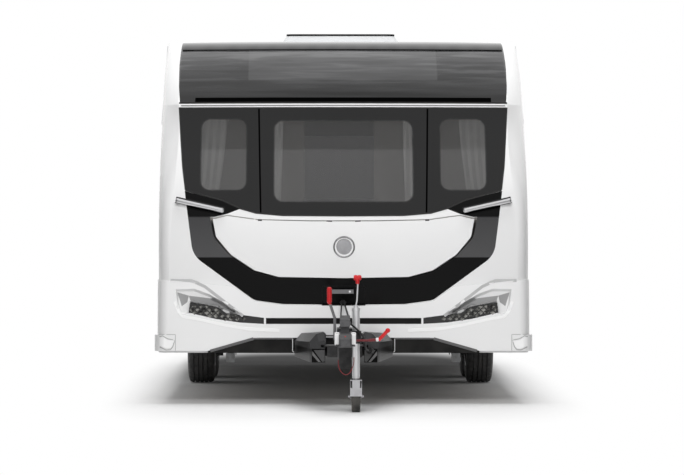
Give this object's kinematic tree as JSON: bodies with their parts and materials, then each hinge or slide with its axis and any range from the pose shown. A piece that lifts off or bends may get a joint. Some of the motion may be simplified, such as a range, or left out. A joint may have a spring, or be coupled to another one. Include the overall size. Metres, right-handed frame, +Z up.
{
  "type": "twin-axle touring caravan",
  "caption": "Towed touring caravan with a curved glazed front, hollow cabin, twin-axle chassis, drawbar, overrun coupling, jockey wheel and opening doors.",
  "frame": {"origin": "on the ground, on the centre line, halfway along the overall length", "axes": "+Z up, -Y forwards to the coupling, +X to the entrance door side"},
  "size_m": [2.478, 7.95, 2.569],
  "materials": {
    "white_shell": "gloss",
    "white_sheet": "gloss",
    "dark_acrylic": "gloss",
    "tinted_glass": "gloss",
    "clear_acrylic": "gloss",
    "dark_gloss": "gloss",
    "light_board": "satin",
    "black_plastic": "matte",
    "lamp_lens": "gloss",
    "bright_trim": "polished",
    "floor_board": "matte",
    "red_lens": "gloss",
    "aluminium": "satin",
    "galvanised_steel": "satin",
    "grey_casting": "satin",
    "black_rubber": "matte",
    "red_plastic": "satin",
    "bright_steel": "satin",
    "tyre": "matte",
    "alloy": "satin",
    "cushion_fabric": "matte"
  },
  "bodies": {
    "caravan": {"front_moulding": "white_shell", "overhead_panel": "dark_acrylic", "front_windows": "tinted_glass", "front_trim": "dark_gloss", "gas_locker_box": "light_board", "front_bumper": "white_shell", "bumper_strip": "black_plastic", "front_lamps": "lamp_lens", "grab_handles": "bright_trim", "side_wall_left": "white_sheet", "side_wall_right": "white_sheet", "cabin_windows": "tinted_glass", "side_skirts": "white_sheet", "floor_panel": "floor_board", "wheel_boxes": "black_plastic", "roof_panel": "white_sheet", "roof_fittings": "clear_acrylic", "rear_panel": "white_shell", "rear_bumper": "white_shell", "rear_lamps": "red_lens", "awning_rails": "aluminium", "chassis_rails": "galvanised_steel", "a_frame": "galvanised_steel", "axles": "galvanised_steel", "coupling_head": "grey_casting", "coupling_bellows": "black_rubber", "stabiliser_lever": "red_plastic", "handbrake_lever": "red_plastic", "hitch_cover": "black_plastic", "jockey_clamp": "galvanised_steel", "interior_furniture": "light_board", "lounge_cushions": "cushion_fabric", "curtains": "cushion_fabric", "towing_cable": "black_rubber", "towing_plug": "black_plastic", "drawbar_cable": "black_rubber", "breakaway_cable": "red_plastic", "breakaway_clip": "bright_steel"},
    "door": {"entrance_door": "white_sheet", "door_window": "tinted_glass"},
    "gas_lid": {"gas_locker_lid": "white_shell"},
    "service_hatch": {"service_door": "white_sheet"},
    "cassette_hatch": {"cassette_door": "white_sheet"},
    "jockey_leg": {"jockey_tube": "bright_steel"},
    "jockey_fork": {"jockey_fork": "bright_steel"},
    "jockey_wheel": {"jockey_wheel": "black_rubber"},
    "wheel_front_left": {"tyre_front_left": "tyre", "rim_front_left": "alloy"},
    "steady_front_left": {"steady_front_left": "galvanised_steel"},
    "wheel_front_right": {"tyre_front_right": "tyre", "rim_front_right": "alloy"},
    "steady_front_right": {"steady_front_right": "galvanised_steel"},
    "wheel_rear_left": {"tyre_rear_left": "tyre", "rim_rear_left": "alloy"},
    "steady_rear_left": {"steady_rear_left": "galvanised_steel"},
    "wheel_rear_right": {"tyre_rear_right": "tyre", "rim_rear_right": "alloy"},
    "steady_rear_right": {"steady_rear_right": "galvanised_steel"}
  },
  "joints": [
    {"name": "wheel_front_left_spin", "type": "hinge", "parent": "caravan", "child": "wheel_front_left", "pos_m": [-1.025, 0.625, 0.315], "axis": [1, 0, 0], "continuous": true},
    {"name": "wheel_front_right_spin", "type": "hinge", "parent": "caravan", "child": "wheel_front_right", "pos_m": [1.025, 0.625, 0.315], "axis": [1, 0, 0], "continuous": true},
    {"name": "wheel_rear_left_spin", "type": "hinge", "parent": "caravan", "child": "wheel_rear_left", "pos_m": [-1.025, 1.525, 0.315], "axis": [1, 0, 0], "continuous": true},
    {"name": "wheel_rear_right_spin", "type": "hinge", "parent": "caravan", "child": "wheel_rear_right", "pos_m": [1.025, 1.525, 0.315], "axis": [1, 0, 0], "continuous": true},
    {"name": "door_hinge", "type": "hinge", "parent": "caravan", "child": "door", "pos_m": [1.22, -0.52, 1.35], "axis": [0, 0, -1], "range_deg": [0, 165]},
    {"name": "gas_lid_hinge", "type": "hinge", "parent": "caravan", "child": "gas_lid", "pos_m": [0, -2.6, 1.232], "axis": [-1, 0, 0], "range_deg": [0, 70]},
    {"name": "service_hinge", "type": "hinge", "parent": "caravan", "child": "service_hatch", "pos_m": [1.22, -1.625, 0.86], "axis": [0, -1, 0], "range_deg": [0, 100]},
    {"name": "cassette_hinge", "type": "hinge", "parent": "caravan", "child": "cassette_hatch", "pos_m": [-1.22, 3.14, 0.94], "axis": [0, 1, 0], "range_deg": [0, 100]},
    {"name": "steady_front_left_hinge", "type": "hinge", "parent": "caravan", "child": "steady_front_left", "pos_m": [-0.75, -1.79, 0.318], "axis": [1, 0, 0], "range_deg": [0, 43]},
    {"name": "steady_front_right_hinge", "type": "hinge", "parent": "caravan", "child": "steady_front_right", "pos_m": [0.75, -1.79, 0.318], "axis": [1, 0, 0], "range_deg": [0, 43]},
    {"name": "steady_rear_left_hinge", "type": "hinge", "parent": "caravan", "child": "steady_rear_left", "pos_m": [-0.75, 3.24, 0.318], "axis": [-1, 0, 0], "range_deg": [0, 43]},
    {"name": "steady_rear_right_hinge", "type": "hinge", "parent": "caravan", "child": "steady_rear_right", "pos_m": [0.75, 3.24, 0.318], "axis": [-1, 0, 0], "range_deg": [0, 43]},
    {"name": "jockey_slide", "type": "slide", "parent": "caravan", "child": "jockey_leg", "axis": [0, 0, 1], "range_m": [-0.1, 0.15]},
    {"name": "jockey_swivel", "type": "hinge", "parent": "jockey_leg", "child": "jockey_fork", "pos_m": [0.07, -3.575, 0.3], "axis": [0, 0, 1], "continuous": true},
    {"name": "jockey_spin", "type": "hinge", "parent": "jockey_fork", "child": "jockey_wheel", "pos_m": [0.07, -3.535, 0.098], "axis": [1, 0, 0], "continuous": true}
  ]
}
